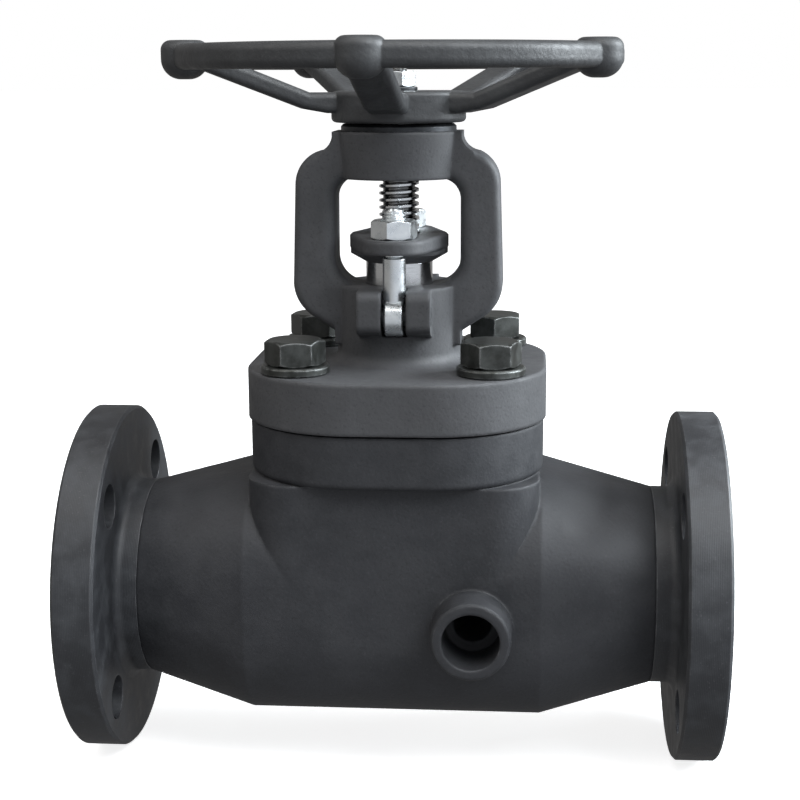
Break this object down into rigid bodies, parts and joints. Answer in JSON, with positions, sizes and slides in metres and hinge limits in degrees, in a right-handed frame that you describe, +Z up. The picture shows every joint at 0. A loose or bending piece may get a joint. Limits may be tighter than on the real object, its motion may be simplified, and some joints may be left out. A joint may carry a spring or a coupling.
{
  "type": "flanged globe valve",
  "caption": "Forged steel globe valve with flanged ends, bolted bonnet, outside screw and yoke, gland and rising handwheel that turns the stem to lift the disc off its seat.",
  "frame": {"origin": "centre of the inlet flange's raised face, on the pipe axis", "axes": "+X along the flow from the inlet to the outlet, +Z up the stem to the handwheel, -Y towards the side with the drain boss"},
  "size_m": [0.28, 0.1925, 0.3115],
  "materials": {
    "forged_black": "black phosphate over a forged, blasted skin",
    "flange_black": "black phosphate over a turned flange",
    "wheel_black": "thick matt black paint on a cast wheel",
    "bolt_steel": "dull dark oxide with bright corners",
    "zinc_steel": "bright zinc plate",
    "stainless": "ground stainless steel",
    "dark_nut": "dark oiled steel",
    "graphite": "pressed graphite",
    "gasket": "spiral-wound steel and graphite"
  },
  "bodies": {
    "valve": {"valve_body": "forged_black", "inlet_flange": "flange_black", "outlet_flange": "flange_black", "seat_ring": "stainless", "bonnet_gasket": "gasket", "bonnet_yoke": "forged_black", "bonnet_bolts": "bolt_steel", "bonnet_washers": "bolt_steel", "backseat_bushing": "stainless", "yoke_nut": "dark_nut", "packing_washer": "stainless", "packing_rings": "graphite", "gland_eyebolt_front": "zinc_steel", "gland_eyebolt_rear": "zinc_steel", "eyebolt_pin_front": "dark_nut", "eyebolt_pin_rear": "dark_nut"},
    "gland": {"gland_flange": "forged_black", "gland_bushing": "stainless"},
    "gland_nut_front": {"gland_nut_front": "zinc_steel"},
    "gland_nut_rear": {"gland_nut_rear": "zinc_steel"},
    "disc": {"disc": "stainless", "disc_nut": "stainless"},
    "stem": {"stem": "stainless", "handwheel": "wheel_black", "handwheel_washer": "dark_nut", "handwheel_nut": "zinc_steel"}
  },
  "joints": [
    {"name": "stem_lift", "type": "slide", "parent": "valve", "child": "disc", "axis": [0, 0, 1], "range_m": [0, 0.018]},
    {"name": "handwheel_turn", "type": "hinge", "parent": "disc", "child": "stem", "pos_m": [0.14, 0, 0], "axis": [0, 0, 1], "range_deg": [0, 2160.1]},
    {"name": "gland_takeup", "type": "slide", "parent": "valve", "child": "gland", "axis": [0, 0, -1], "range_m": [0, 0.005], "deforming": ["packing_rings"]},
    {"name": "gland_nut_front_turn", "type": "hinge", "parent": "gland", "child": "gland_nut_front", "pos_m": [0.14, -0.027, 0], "axis": [0, 0, -1], "range_deg": [0, 1200.1]},
    {"name": "gland_nut_rear_turn", "type": "hinge", "parent": "gland", "child": "gland_nut_rear", "pos_m": [0.14, 0.027, 0], "axis": [0, 0, -1], "range_deg": [0, 1200.1]}
  ],
  "couplings": [
    {"joint": "handwheel_turn", "follows": "stem_lift", "rad_per_m": 2094.4},
    {"joint": "gland_nut_front_turn", "follows": "gland_takeup", "rad_per_m": 4188.8},
    {"joint": "gland_nut_rear_turn", "follows": "gland_takeup", "rad_per_m": 4188.8}
  ]
}
